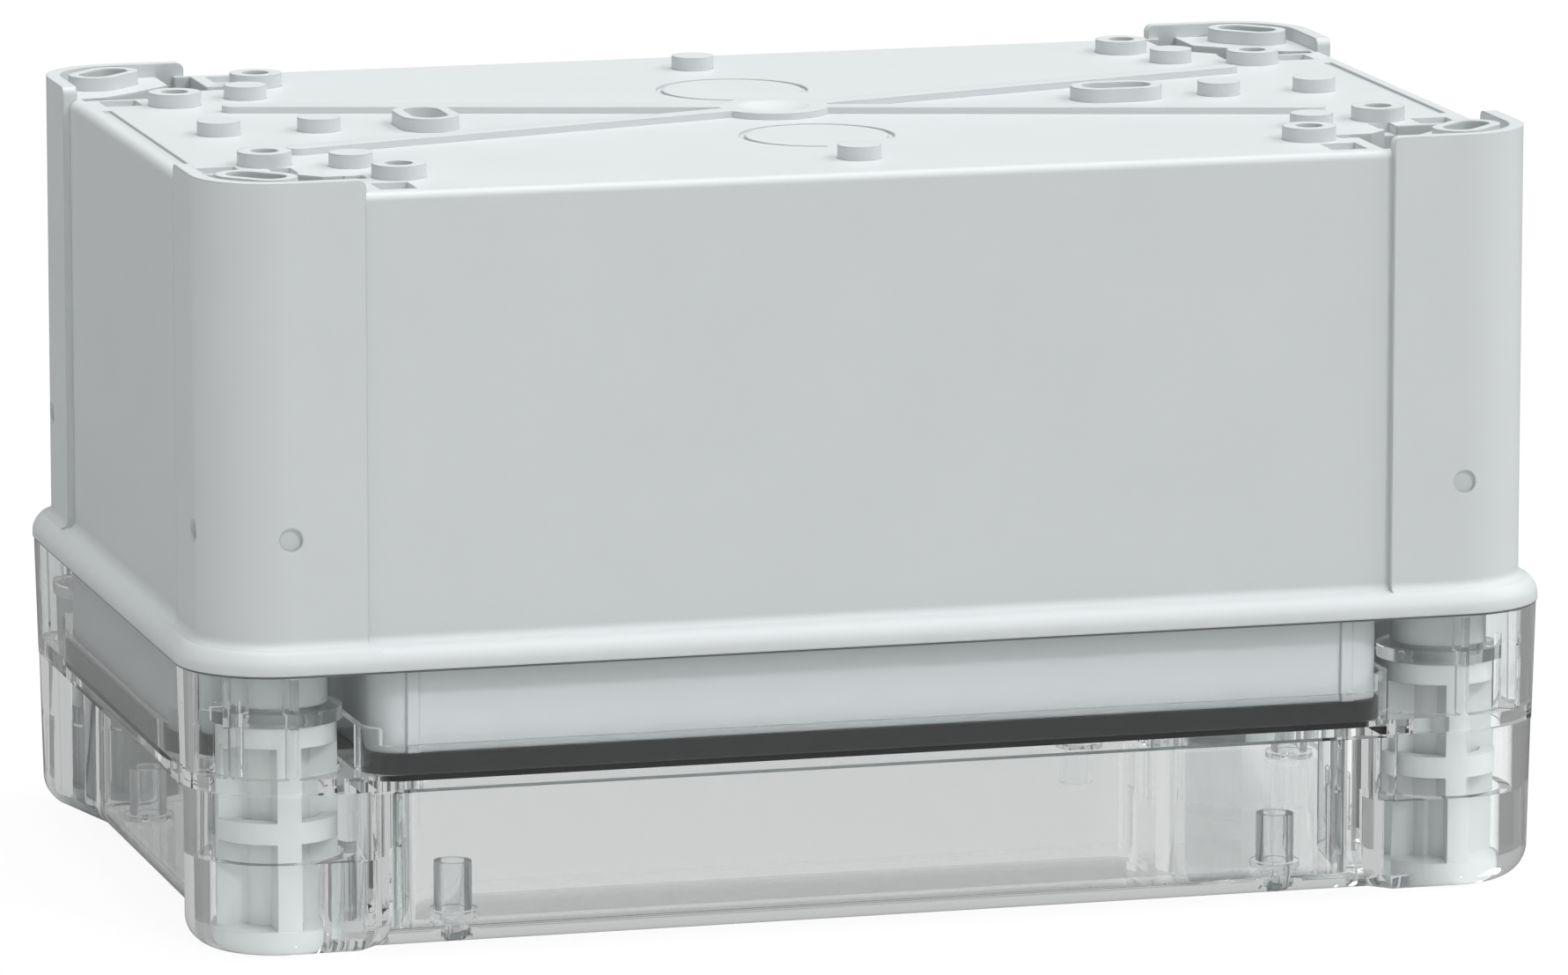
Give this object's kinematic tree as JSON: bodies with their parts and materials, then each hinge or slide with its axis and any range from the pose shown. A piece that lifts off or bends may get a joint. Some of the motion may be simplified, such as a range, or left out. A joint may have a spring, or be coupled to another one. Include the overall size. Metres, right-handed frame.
{
  "type": "hinged polycarbonate enclosure",
  "caption": "Sealed polycarbonate box: deep grey base hinged to a high clear cover, with quarter-turn corner closures, a black gasket and rear mounting bosses.",
  "frame": {"origin": "centre of the outline on the plane of the cover face, on which the enclosure stands", "axes": "+X along the long side, +Y towards the hinge side, +Z from the cover face to the mounting back"},
  "size_m": [0.192, 0.121, 0.105],
  "materials": {
    "base_grey": "fine satin, light grey RAL 7035 like",
    "clear_cover": "polished clear",
    "seal": "matt",
    "closure_grey": "satin",
    "pin_steel": "drawn"
  },
  "bodies": {
    "cover": {"cover": "clear_cover", "gasket": "seal", "ring_front_left": "closure_grey", "ring_front_right": "closure_grey", "ring_back_left": "closure_grey", "ring_back_right": "closure_grey", "hinge_pin_left": "pin_steel", "hinge_pin_right": "pin_steel"},
    "base": {"base": "base_grey"},
    "closure_front_left": {"closure_front_left": "closure_grey"},
    "closure_front_right": {"closure_front_right": "closure_grey"},
    "closure_back_left": {"closure_back_left": "closure_grey"},
    "closure_back_right": {"closure_back_right": "closure_grey"}
  },
  "joints": [
    {"name": "cover_hinge", "type": "hinge", "parent": "cover", "child": "base", "pos_m": [0, 0.0579, 0.039], "axis": [-1, 0, 0], "range_deg": [0, 95]},
    {"name": "closure_turn_front_left", "type": "hinge", "parent": "cover", "child": "closure_front_left", "pos_m": [-0.0823, -0.0468, 0], "axis": [0, 0, 1], "range_deg": [0, 90]},
    {"name": "closure_turn_front_right", "type": "hinge", "parent": "cover", "child": "closure_front_right", "pos_m": [0.0823, -0.0468, 0], "axis": [0, 0, 1], "range_deg": [0, 90]},
    {"name": "closure_turn_back_left", "type": "hinge", "parent": "cover", "child": "closure_back_left", "pos_m": [-0.0823, 0.0468, 0], "axis": [0, 0, 1], "range_deg": [0, 90]},
    {"name": "closure_turn_back_right", "type": "hinge", "parent": "cover", "child": "closure_back_right", "pos_m": [0.0823, 0.0468, 0], "axis": [0, 0, 1], "range_deg": [0, 90]}
  ]
}
